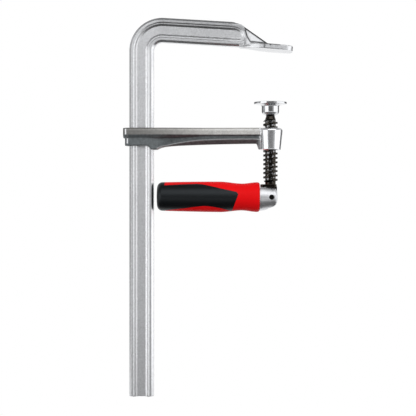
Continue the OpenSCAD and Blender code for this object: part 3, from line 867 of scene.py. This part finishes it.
def near(value, target, width):
    """1 at a target value, fading to 0 on both sides of it."""
    return math.exp(-(((value - target) / width) ** 2))


def line_gap(spot, start, end):
    """Distance from a spot to a straight piece of line."""
    along = end - start
    share = min(1, max(0, (spot - start).dot(along) / along.length_squared))
    return (spot - start - along * share).length


def mark_rail(rail, s):
    """Notes the slant of the rail's faces, and each point's place across it and nearness to the lines that
    get a painted shadow.
    """
    centre, level = bend_centre(s), Matrix.Rotation(-s.jaw_tilt, 3, "Y")
    start, forward, upward = arm_frame(s, 0)
    contact = [Vector((x, z)) * MM for x, z in ((-26, 20.3), (-23.6, 13), (-20.9, 8.5), (-5.5, 7.3))]
    seams_start, plate_end, plate_edge = -27 * MM, 9 * MM, s.jaw_width / 2 - 1.5 * MM

    def across(vertex):
        """Distance from the rail's middle line in millimetres, positive towards the throat."""
        spot = vertex.co
        if spot.z < centre.z:
            return (spot.x - rail_middle(s)) / MM
        if (spot - centre).dot(forward) < 0:
            return (s.bend + s.rail_width / 2 - math.hypot(spot.x - centre.x, spot.z - centre.z)) / MM
        return -(spot - start).dot(upward) / MM

    def seam(vertex):
        """1 on the lines where the web, the ridge and the jaw plate meet, on faces that look sideways: the
        painted shadow lines along these edges.
        """
        if vertex.co.x < seams_start:
            return 0
        spot = Vector((vertex.co.x, vertex.co.z))
        x, y, z = level @ vertex.co
        ridge = s.jaw_thickness - math.tan(s.ridge_angle) * x
        marks = [1.5 * near(z, ridge - 1 * MM, 1 * MM) if x < 0 else 0]
        marks += [near(line_gap(spot, *ends), 0, 0.7 * MM) for ends in zip(contact, contact[1:])]
        if abs(y) > plate_edge and x < plate_end:
            marks += [near(z, s.jaw_thickness - 0.3 * MM, 0.6 * MM), 0.6 * near(z, 0.2 * MM, 0.5 * MM)]
            marks += [0.7 * near(x, -s.jaw_back, 0.8 * MM)]
        sideways = ease((abs(vertex.normal.y) - 0.25) / 0.3)
        return min(1, max(marks)) * sideways

    note(rail, "slant", lambda face: 1 - abs(face.normal.y), "FACE")
    note(rail, "across", across)
    note(rail, "seam", seam)


class CLAMP_OT_rail(bpy.types.Operator):
    """Model the rail with its bend and its forged fixed jaw"""

    bl_idname = "clamp.rail"
    bl_label = "Rail and fixed jaw"

    def execute(self, context):
        sizes, colours = context.scene.clamp_sizes, context.scene.clamp_colours
        seam_x = -40 * MM
        rail = gather(rail_bar(sizes, seam_x), fixed_jaw(sizes, seam_x))
        mark_rail(rail, sizes)
        dress(rail, "rail", ["rail"], plated_steel(colours, sizes))
        return {"FINISHED"}


class ArmShape:
    """Widths and heights along the sliding arm, from its end behind the rail to its boss."""

    end_steps = (2 * MM, 3.8 * MM)
    web_inset = 1.7 * MM
    bevelled = 0.8 * MM
    gusset_start = -14.4 * MM

    def __init__(self, s):
        self.s = s
        self.top = arm_high.z
        self.back = arm_low.x + 0.6 * MM
        self.web_back = self.back + self.web_inset
        self.step = [-s.throat - 6 * MM, -s.throat - 2.5 * MM]
        self.heel = -s.throat + 3.5 * MM
        self.beam = self.heel / 2
        self.taper = [lerp(self.heel, self.gusset_start, (i / 18) ** 1.5) for i in range(1, 19)]
        self.taper += [x * MM for x in (-13.8, -13.2, -12.6, -12)]

    def share(self, x):
        """Way from the heel to the slim part of the arm."""
        return (x - self.heel) / (self.beam - self.heel)

    def half(self, x, back):
        """Half of the arm's width, which is drawn in at its end."""
        near_end, far_end = self.end_steps
        taken = 0.5 * max(0, back + far_end - x) + 1.75 * max(0, back + near_end - x)
        return lerp(self.s.collar_width / 2, self.s.beam_width / 2, ease(self.share(x))) - taken

    def keel(self, x):
        """Depth of the lower edge below the top: the collar, a step down to the heel, and a hollow curve."""
        s, low, high = self.s, *self.step
        if x <= self.heel:
            return lerp(s.collar_height, s.heel_height, min(1, max(0, (x - low) / (high - low))))
        slow_drop, quick_run, gusset_drop, gusset_run = 3 * MM, 5 * MM, 6 * MM, 2.4 * MM
        slow = slow_drop * (x / self.heel) ** 2
        quick = (s.heel_height - s.beam_height - slow_drop) * math.exp((self.heel - x) / quick_run)
        gusset = gusset_drop * ease((x - self.gusset_start) / gusset_run)
        return s.beam_height + slow + quick + gusset

    def edge(self, x):
        """Depth of the lower bevel's upper edge below the arm's top."""
        if x <= self.heel:
            return self.keel(x) - self.bevelled
        bevel_end = -15 * MM
        share = 1 - max(0, (x - bevel_end) / (self.heel - bevel_end)) ** 3.6
        return lerp(self.s.heel_height - self.bevelled, self.s.bevel_height, share)

    def proud(self, x):
        """How far the rib stands proud of the web."""
        return lerp(self.s.rib_shelf, self.s.rib_out, ease(self.share(x)))

    def rib(self, x):
        """Section of the top rib."""
        half, proud = self.half(x, self.back), self.proud(x)
        foot, edge = self.top - self.s.rib_height, self.bevelled
        return [(half - proud, foot - proud), (half, foot), (half, self.top - edge), (half - edge, self.top)]

    def hollow(self, x):
        """Depth of the web's hollow, which is deepest just inside the rail."""
        depth, start, rise, crest, fall = 2.4 * MM, -122 * MM, 9 * MM, -113 * MM, 50 * MM
        return depth * ease((x - start) / rise) * (1 - ease((x - crest) / fall))

    def web(self, x):
        """Section of the web under the rib, with a hollow beside the rail and a bevel along its foot."""
        half, most, slope = self.half(x, self.web_back) - self.proud(x) - self.hollow(x), 0.6, 0.8
        low, edge = self.keel(x), min(self.edge(x), self.keel(x) - self.bevelled)
        narrow = half - min(most * half, slope * (low - edge))
        return [(narrow, self.top - low), (half, self.top - edge), (half, self.top - self.s.rib_height / 2)]

    def stations(self, back, *others):
        """Places along the arm at which a section is drawn."""
        return [back, *(back + step for step in self.end_steps), *others, self.heel, *self.taper, 0]


def arm_forging(s):
    """Rib, web and boss fused into one forging, with the rail's window and the thread's bore cut through."""
    shape = ArmShape(s)
    arm = lofted("arm_forging", shape.stations(shape.back), shape.rib)
    web = lofted("arm_web", shape.stations(shape.web_back, *shape.step), shape.web)
    foot, top, edge, rounding = arm_low.z, shape.top, 0.8 * MM, 3 * MM
    crown = arc((s.boss_top - rounding, top - rounding), rounding, 0, 90, 8)
    boss = turned("arm_boss", [(s.boss_foot - edge, foot), (s.boss_foot, foot + edge), *crown])
    forge(gather(arm, web, boss), voxel=0.45 * MM, passes=5)
    half_w, half_t = s.rail_width / 2 + s.slide_play, s.rail_thickness / 2 + s.slide_play
    x = rail_middle(s)
    window = begin_box("arm_window", (x - half_w, -half_t, foot - MM), (x + half_w, half_t, top + MM))
    combine(arm, close(window))
    bore = s.thread_radius + 0.25 * MM
    countersink = bore + edge
    steps = [(countersink, foot - MM), (countersink, foot), (bore, foot + edge)]
    steps += [(bore, top - edge), (countersink, top), (countersink, top + MM)]
    combine(arm, turned("arm_bore", steps))
    mark_worn_and_highlit_edges(arm, shape)
    return arm


def mark_worn_and_highlit_edges(arm, shape):
    """Notes on each point of the arm how near it is to the web's lower edge or to the end, which are abraded
    bright and carry painted highlight lines.
    """
    rib_end, web_end, end_width = shape.back + 3 * MM, shape.back + 4.6 * MM, 0.8 * MM
    edge_width, edge_height, above_keel, below_top = 1.5 * MM, 0.6 * MM, 2 * MM, 0.8 * MM

    def wear_and_highlight(vertex):
        x, y, z = vertex.co
        half, height = shape.web(x)[1]
        inside, away = (half - abs(y)) / edge_width, (z - height) / edge_height
        on_edge = math.exp(-away * away - inside * inside) if x > shape.heel else 0
        end = rib_end if z > shape.top - shape.s.rib_height else web_end
        on_face = shape.keel(x) - above_keel > shape.top - z > below_top
        on_end = near(x, end, end_width) if on_face else 0
        return on_edge + on_end

    note(arm, "edge_wear_and_highlight", wear_and_highlight)


class CLAMP_OT_arm(bpy.types.Operator):
    """Model the sliding arm with its boss"""

    bl_idname = "clamp.arm"
    bl_label = "Sliding arm"

    def execute(self, context):
        sizes, colours = context.scene.clamp_sizes, context.scene.clamp_colours
        arm = arm_forging(sizes)
        dress(arm, "arm", ["sliding_arm"], forged_steel(colours, sizes))
        return {"FINISHED"}


def thread_form(s, foot, top, start):
    """Right-hand trapezoid thread between two heights, with its ridge at the start height on the X axis."""
    flank_angle, segments = math.radians(15), 48
    flank = (s.thread_radius - s.root_radius) * math.tan(flank_angle)
    base, crest = s.pitch / 4 + flank / 2, s.pitch / 4 - flank / 2
    low = start - s.pitch * (math.ceil((start - foot) / s.pitch) + 2)
    ridge = [
        (s.root_radius, -base), (s.thread_radius, -crest), (s.thread_radius, crest), (s.root_radius, base),
        (s.root_radius, s.pitch - base)
    ]
    thread = begin_line("spindle_screw", [(r, 0, low + z) for r, z in ridge])
    bpy.ops.object.mode_set(mode="OBJECT")
    turns = math.ceil((top - low) / s.pitch) + 2
    modify(
        thread, "SCREW", axis="Z", angle=2 * math.pi, screw_offset=s.pitch, iterations=turns, steps=segments,
        render_steps=segments, use_merge_vertices=True, merge_threshold=TINY
    )
    reopen(thread)
    bpy.ops.mesh.remove_doubles(threshold=TINY)
    bpy.ops.mesh.fill_holes(sides=0)
    close(thread)
    outside = s.thread_radius + 0.02 * MM
    run = s.thread_radius - s.root_radius + 0.3 * MM
    inside = outside - run
    envelope = [(inside, foot), (outside, foot + run), (outside, top - run), (inside, top)]
    return combine(thread, turned("thread_envelope", envelope), "INTERSECT")


def spindle_screw(s):
    """Spindle with its thread, ball, neck, foot plate and hinge tang."""
    foot_z = pin.z + 10.1 * MM
    thread_foot = foot_z + s.foot + 1.6 * MM
    thread_top = pad_low.z - 4.2 * MM
    spindle = thread_form(s, thread_foot, thread_top, pin.z + 18 * MM)
    slim = s.root_radius - 0.05 * MM
    heights = (foot_z + MM, thread_foot + 2 * MM, thread_top - 2 * MM, thread_top)
    shaft = [(slim, z) for z in heights]
    shaft += [(s.neck + 0.5 * MM, thread_top + 1.4 * MM), (s.neck - 0.1 * MM, pad_low.z - 0.5 * MM)]
    shaft += arc((0, ball.z), s.ball, -50, BALL_TOP, 20)
    combine(spindle, turned("spindle_shaft", shaft), "UNION")
    low_x, half_y, plate_run, corner, edge = spindle_low.x, spindle_high.y, 16.7 * MM, 3 * MM, 0.5 * MM
    plate = begin_box("spindle_foot", (low_x, -half_y, foot_z), (low_x + plate_run, half_y, foot_z + s.foot))
    pick("EDGE", lambda e: runs_along(e, 2))
    bevel(corner, 6)
    pick("EDGE", lambda e: abs(e.verts[0].co.z - e.verts[1].co.z) < TINY)
    bevel(edge, 3)
    combine(spindle, close(plate), "UNION")
    half_tang, tang_r = s.tang / 2, 5.6 * MM
    low = (pin.x - tang_r, -half_tang, pin.z - tang_r)
    tang = begin_box("spindle_tang", low, (pin.x + tang_r, half_tang, foot_z + MM))
    pick("EDGE", lambda e: runs_along(e, 1) and middle(e).z < pin.z)
    bevel(tang_r - TINY, 10)
    combine(spindle, close(tang), "UNION")
    combine(spindle, pin_bore(2.65 * MM, s.tang))
    return mend(spindle)


def pin_bore(radius, depth):
    """Cutter for a hole round the hinge pin."""
    bore = turned("pin_bore", [(radius, -depth), (radius, depth)], 48)
    return place(bore, (math.pi / 2, 0, 0), pin)


class CLAMP_OT_spindle(bpy.types.Operator):
    """Model the threaded spindle"""

    bl_idname = "clamp.spindle"
    bl_label = "Spindle"

    def execute(self, context):
        sizes, colours = context.scene.clamp_sizes, context.scene.clamp_colours
        spindle = spindle_screw(sizes)
        finish = blackened_steel(colours, sizes)
        dress(spindle, "spindle", ["spindle"], finish)
        return {"FINISHED"}


class CLAMP_OT_pad(bpy.types.Operator):
    """Model the swivelling pressure pad"""

    bl_idname = "clamp.pad"
    bl_label = "Pressure pad"

    def execute(self, context):
        s, colours = context.scene.clamp_sizes, context.scene.clamp_colours
        top, foot = pad_high.z, pad_low.z
        play, lip, flare, slant, rim = 0.15 * MM, 0.4 * MM, 2.2 * MM, 0.5 * MM, 0.4 * MM
        land, dish_edge, dish_flat, dish = 1.6 * MM, 2.2 * MM, 5 * MM, top - 0.2 * MM
        socket = s.ball + play
        outline = arc((0, ball.z), socket, BALL_TOP, 0, 14)
        outline += [(socket, foot + lip), (socket + lip, foot)]
        outline += arc((s.cup - s.cup_round, foot + s.cup_round), s.cup_round, -90, 0, 8)
        outline += arc((s.cup + flare, top - (s.pad_rim + slant) - flare), flare, 180, 92, 7)
        outline += arc((s.pad - rim, top - s.pad_rim + rim), rim, -90, 0, 4)
        outline += arc((s.pad - rim, top - rim), rim, 0, 90, 4)
        outline += [(s.pad - land, top), (s.pad - dish_edge, dish), (s.pad - dish_flat, dish)]
        pad = turned("swivel_pad", outline, 128)
        dress(pad, "pad", ["pressure_pad"], pad_steel(colours))
        return {"FINISHED"}


def along_handle(piece, lift=0):
    """Turns a form made along +Z at the origin to run from the hinge pin along the handle."""
    return place(piece, (0, lift - math.pi / 2, 0), pin)


class CLAMP_OT_head(bpy.types.Operator):
    """Model the handle's slotted metal head"""

    bl_idname = "clamp.head"
    bl_label = "Handle head"

    def execute(self, context):
        s, colours = context.scene.clamp_sizes, context.scene.clamp_colours
        tip, tip_round = 5.8 * MM, 3 * MM
        shank, shank_end = 6 * MM, pin.x - head_low.x
        tip_radius = s.head + 1.8 * MM
        outline = arc((tip_radius - tip_round, tip_round - tip), tip_round, -80, 0, 8)
        outline += [(tip_radius, 0), (s.head_collar, s.head_start - 1.6 * MM), (s.head_collar, s.head_start)]
        outline += [(shank, s.head_start), (shank, shank_end - MM), (shank - MM, shank_end)]
        head = along_handle(turned("handle_head", outline))
        flat, reach = (head_high.z - pin.z) / MM, 40 * MM
        brow = [(-80, flat), (1.4, flat), (2.6, 9.55), (3.7, 8.9), (4.7, 7.7), (5.4, 6.2), (5.8, 4.4)]
        chin = [(5.8, -2), (5.7, -4), (5.3, -5.8), (4.4, -7.6), (2.9, -9.1)]
        chin += [(1, -10.2), (-1.4, -11), (-4, -11.9), (-9, -20), (-80, -20)]
        side = [(pin.x + x * MM, -reach, pin.z + z * MM) for x, z in brow + chin]
        combine(head, prism("head_side", side, 2 * reach), "INTERSECT")
        half, deep = s.tang / 2 + 0.9 * MM, 6.4 * MM
        low = (pin.x - deep, -half, pin.z - deep)
        slot = begin_box("head_slot", low, (reach, half, pin.z + reach))
        pick("EDGE", lambda e: runs_along(e, 1) and middle(e).x < pin.x and middle(e).z < pin.z)
        bevel(deep - TINY, 10)
        combine(head, close(slot))
        forge(head, voxel=0.28 * MM, passes=3)
        combine(head, pin_bore(2.62 * MM, 2 * s.head_collar))
        dress(head, "handle", ["hinge_head"], satin_steel(colours))
        return {"FINISHED"}


def handle_length(s):
    """Length of the handle from its front end to its tail."""
    return pin.x - s.head_start - grip_low.x


def handle_radius(s, distance, full):
    """Radius of the handle at a distance from its front end."""
    neck, belly = 18 * MM, 41 * MM
    if distance < FLANGE_END:
        return s.handle_flange
    if distance < neck:
        return lerp(s.handle_flange, s.handle_neck, ease((distance - FLANGE_END) / (neck - FLANGE_END)))
    if distance < belly:
        return lerp(s.handle_neck, s.handle_belly, ease((distance - neck) / (belly - neck)))
    return lerp(s.handle_belly, s.handle_tail, ((distance - belly) / (full - belly)) ** 1.6)


def handle_form(s, name, depth):
    """Turned form of the whole handle, drawn in by a depth."""
    full, front = handle_length(s), 2.4 * MM
    outline = [(r - depth, z) for r, z in arc((s.handle_flange - front, front), front, -90, 0, 8)]
    last = full - s.tail_round
    stations = [lerp(FLANGE_END, last, i / 40) for i in range(41)]
    outline += [(handle_radius(s, z, full) - depth, z) for z in stations]
    end_radius = handle_radius(s, last, full) - s.tail_round
    outline += arc((end_radius, last), s.tail_round - depth, 9, 90, 9)
    form = turned(name, [(r, z + s.head_start) for r, z in outline], 128)
    return along_handle(form, s.handle_lift)


def rounded_line(points, steps=6):
    """A smooth closed line through points."""
    count = len(points)
    line = []
    for i in range(count):
        a, b, c, d = (Vector(points[(i + k) % count]) for k in (-1, 0, 1, 2))
        for j in range(steps):
            t = j / steps
            spot = 2 * b + (c - a) * t + (2 * a - 5 * b + 4 * c - d) * t**2 + (3 * b - a - 3 * c + d) * t**3
            line.append(tuple(spot / 2))
    return line


def soft_outline(s):
    """Side outline of the soft layer: distance from the handle's front end, height over its axis."""
    full, belly, nose = handle_length(s), s.handle_belly, 3.2 * MM
    upper = [(1, 0.74), (0.93, 0.77), (0.82, 0.815), (0.7, 0.85), (0.58, 0.855), (0.47, 0.715), (0.37, 0.555)]
    lower = [(0.39, -0.71), (0.52, -0.585), (0.62, -0.63), (0.72, -0.72)]
    lower += [(0.82, -0.79), (0.93, -0.87), (1, -0.92)]
    upper, lower = ([(along * full, up * belly) for along, up in points] for points in (upper, lower))
    front = arc((22.2 * MM + nose, 0.36 * belly - nose), nose, 100, 190, 4)
    front += arc((27.4 * MM + nose, -0.8 * belly + nose / 2), nose, 195, 260, 3)
    return rounded_line([*upper, *front, *lower])


class CLAMP_OT_handle(bpy.types.Operator):
    """Model the handle's hard red core and its soft black layer"""

    bl_idname = "clamp.handle"
    bl_label = "Handle"

    def execute(self, context):
        s, colours = context.scene.clamp_sizes, context.scene.clamp_colours
        start_x = pin.x - s.head_start
        outline = [(start_x - d, 0, pin.z + h) for d, h in soft_outline(s)]
        wide, rib = 2 * s.handle_belly, 3 * MM
        end = grip_low.x + s.soft_cap
        sides = [(prism("soft_side", outline, side * wide), side * rib) for side in (-1, 1)]
        rooms = [place(panel, shift=(0, y, 0)) for panel, y in sides]
        cap_low = (end - 2 * s.soft_cap, -wide, pin.z - wide)
        rooms += [close(begin_box("soft_end", cap_low, (end, wide, pin.z + wide)))]
        core = handle_form(s, "handle_red", 0)
        inner = handle_form(s, "handle_inner", s.soft_layer)
        panels = []
        for room in rooms:
            panel = combine(handle_form(s, "soft_panel", 0), copy_of(room, "soft_room"), "INTERSECT")
            panels.append(combine(panel, copy_of(inner, "soft_inner")))
            combine(room, copy_of(inner, "soft_inner"))
            combine(core, room)
        bpy.data.objects.remove(inner)
        grip = panels[0]
        grip.name = grip.data.name = "handle_soft"
        for panel in panels[1:]:
            combine(grip, panel, "UNION")
        bore, bore_end = 6.03 * MM, pin.x - head_low.x + 0.5 * MM
        shank = turned("shank_bore", [(bore, 0), (bore, bore_end)])
        combine(core, along_handle(shank))
        dress(core, "handle", ["handle_core"], red_plastic(colours))
        dress(grip, "handle", ["soft_grip"], soft_black(colours))
        return {"FINISHED"}


class CLAMP_OT_pin(bpy.types.Operator):
    """Model the rolled hinge pin, which is set a little way into the head"""

    bl_idname = "clamp.pin"
    bl_label = "Hinge pin"

    def execute(self, context):
        colours = context.scene.clamp_colours
        end, radius, bore, bore_depth, edge = 9.4 * MM, 2.58 * MM, 1.5 * MM, 3 * MM, 0.35 * MM
        half = [(bore, end - bore_depth), (bore, end - edge), (bore + edge, end)]
        half += [(radius - edge, end), (radius, end - edge)]
        outline = [(r, -z) for r, z in half] + [(r, z) for r, z in reversed(half)]
        roll = place(turned("pin_roll", outline, 48), (math.pi / 2, 0, 0), pin)
        finish = plain_steel("pin_steel", colours.pin, roughness=0.35)
        dress(roll, "handle", ["hinge_pin"], finish)
        return {"FINISHED"}


class CLAMP_OT_fittings(bpy.types.Operator):
    """Finish the washers and the snap ring, whose solids are shown as they are"""

    bl_idname = "clamp.fittings"
    bl_label = "Washers and ring"

    def execute(self, context):
        colours = context.scene.clamp_colours
        spring = plain_steel("spring_steel", colours.spring, roughness=0.3)
        for name in ("friction_washer_front", "friction_washer_back", "pad_snap_ring"):
            for slot in frame["nodes"][name].material_slots:
                slot.material = spring
        return {"FINISHED"}


def softbox(name, turn, lift, far, width, height, watts):
    """Large soft lamp that faces the clamp, at a turn and a lift in degrees from the camera's side."""
    turn, lift = math.radians(turn), math.radians(lift)
    away = Vector((math.sin(turn) * math.cos(lift), -math.cos(turn) * math.cos(lift), math.sin(lift)))
    bpy.ops.object.light_add(type="AREA", location=MIDDLE + away * far)
    lamp = bpy.context.object
    lamp.name = lamp.data.name = name
    lamp.data.shape = "RECTANGLE"
    lamp.data.size = width
    lamp.data.size_y = height
    lamp.data.energy = watts
    lamp.visible_camera = False
    lamp.rotation_euler = away.to_track_quat("Z", "Y").to_euler()


def studio_world(scene):
    """White backdrop behind, and an even room round it in which metal sees a dark opening in front."""
    scene.world = bpy.data.worlds.new("studio")
    scene.world.use_nodes = True
    sheet = Sheet(scene.world.node_tree)
    _, y, z = sheet.axes(sheet.node("ShaderNodeTexCoord", output="Generated"))
    opening = sheet.rise(0 - y, 0.82, 0.97) * sheet.rise(abs(z), 0.30, 0.10)
    front = sheet.rise(0 - y, -0.55, -0.15) * sheet.rise(abs(z), 0.85, 0.45)
    glossy = sheet.ray("Glossy")
    overhead = sheet.rise(y, 0.05, 0.5) * sheet.rise(z, 0.1, 0.4)
    mirrored = 0.15 + 0.24 * front - 0.26 * opening + 0.42 * overhead
    even = 0.66
    room = even + glossy * (mirrored - even)
    seen = sheet.ray("Camera") + sheet.ray("Transmission") + glossy * sheet.rise(y, 0.85, 0.98)
    background = sheet.tree.nodes["Background"]
    sheet.feed(background.inputs["Color"], sheet.mix(seen, sheet.shade((1, 1, 1), room), (1, 1, 1)))


def studio_floor(height):
    """Pale floor that keeps the clamp's shadow and fades into white, but throws little light back up."""
    bpy.ops.object.select_all(action="DESELECT")
    disc = {"vertices": 96, "radius": 1.6, "fill_type": "NGON", "location": (MIDDLE.x, 0, height)}
    bpy.ops.mesh.primitive_circle_add(**disc)
    floor = bpy.context.object
    floor.name = "studio_floor"
    f = Finish("pale_floor", metal=0, specular=0)
    away = f.radius()
    seen = f.ray("Camera") + f.ray("Transmission")
    white = f.node("ShaderNodeEmission", {}, {"Color": (1, 1, 1, 1), "Strength": 1.0})
    unseen = f.mix(f.ray("Glossy"), (0.35, 0.35, 0.35), (0.08, 0.08, 0.08))
    f.done(Base_Color=f.mix(seen, unseen, (0.95, 0.95, 0.95)), Roughness=0.8)
    pale = Flow(f, f.shader.outputs[0])
    mirrored = 1 - (1 - f.rise(away, 600, 1200)) * (1 - f.rise(f.y, 60, 250))
    fading = seen * f.rise(away, 250, 800) + f.ray("Glossy") * mirrored
    faded = f.node("ShaderNodeMixShader", {}, {0: fading, 1: pale, 2: white})
    f.feed(f.tree.nodes["Material Output"].inputs["Surface"], faded)
    floor.data.materials.append(f.material)


class CLAMP_OT_stage(bpy.types.Operator):
    """Set up the floor, the light and the camera"""

    bl_idname = "clamp.stage"
    bl_label = "Studio"

    def execute(self, context):
        scene = context.scene
        scene.view_settings.view_transform = "Standard"
        studio_world(scene)
        studio_floor(height=-0.56)
        softbox("left_softbox", turn=-50, lift=0, far=1.9, width=1.61, height=1.6, watts=8.3)
        softbox("right_softbox", turn=79, lift=0, far=1.9, width=2.56, height=1.6, watts=11.5)
        softbox("top_softbox", turn=18, lift=40, far=1.7, width=2.3, height=1.25, watts=11.0)
        aim, far, turn = Vector((-0.0642, 0, -0.162)), 1.24, math.radians(1.7)
        half_pixels, millimetres_per_pixel = 208, 1.03
        half_view = half_pixels * millimetres_per_pixel * MM
        away = Vector((math.sin(turn), -math.cos(turn), 0)) * far
        bpy.ops.object.camera_add(location=aim + away, rotation=(math.pi / 2, 0, turn))
        camera = context.object
        camera.data.lens = camera.data.sensor_width / 2 * far / half_view
        scene.camera = camera
        return {"FINISHED"}


PIECES = (
    CLAMP_OT_rail, CLAMP_OT_arm, CLAMP_OT_spindle, CLAMP_OT_pad, CLAMP_OT_head, CLAMP_OT_handle,
    CLAMP_OT_pin, CLAMP_OT_fittings, CLAMP_OT_stage
)


class CLAMP_PT_panel(bpy.types.Panel):
    """Lists the clamp's operators, sizes and colours"""

    bl_idname = "CLAMP_PT_panel"
    bl_label = "Screw clamp"
    bl_space_type = "VIEW_3D"
    bl_region_type = "UI"
    bl_category = "Clamp"

    def draw(self, context):
        """Draws the buttons and the values."""
        for piece in PIECES:
            self.layout.operator(piece.bl_idname)
        for group in (context.scene.clamp_sizes, context.scene.clamp_colours):
            column = self.layout.column()
            for name in group.__annotations__:
                column.prop(group, name)


CLASSES = (ClampSizes, ClampColours, *PIECES, CLAMP_PT_panel)


def register():
    """Adds the classes and the scene's values."""
    for cls in CLASSES:
        bpy.utils.register_class(cls)
    bpy.types.Scene.clamp_sizes = PointerProperty(type=ClampSizes)
    bpy.types.Scene.clamp_colours = PointerProperty(type=ClampColours)


def unregister():
    """Takes them away again."""
    del bpy.types.Scene.clamp_colours
    del bpy.types.Scene.clamp_sizes
    for cls in reversed(CLASSES):
        bpy.utils.unregister_class(cls)


def main():
    """Models the clamp and sets it in its studio."""
    register()
    bpy.ops.clamp.rail()
    bpy.ops.clamp.arm()
    bpy.ops.clamp.spindle()
    bpy.ops.clamp.pad()
    bpy.ops.clamp.head()
    bpy.ops.clamp.handle()
    bpy.ops.clamp.pin()
    bpy.ops.clamp.fittings()
    bpy.ops.clamp.stage()


if __name__ == "__main__":
    main()
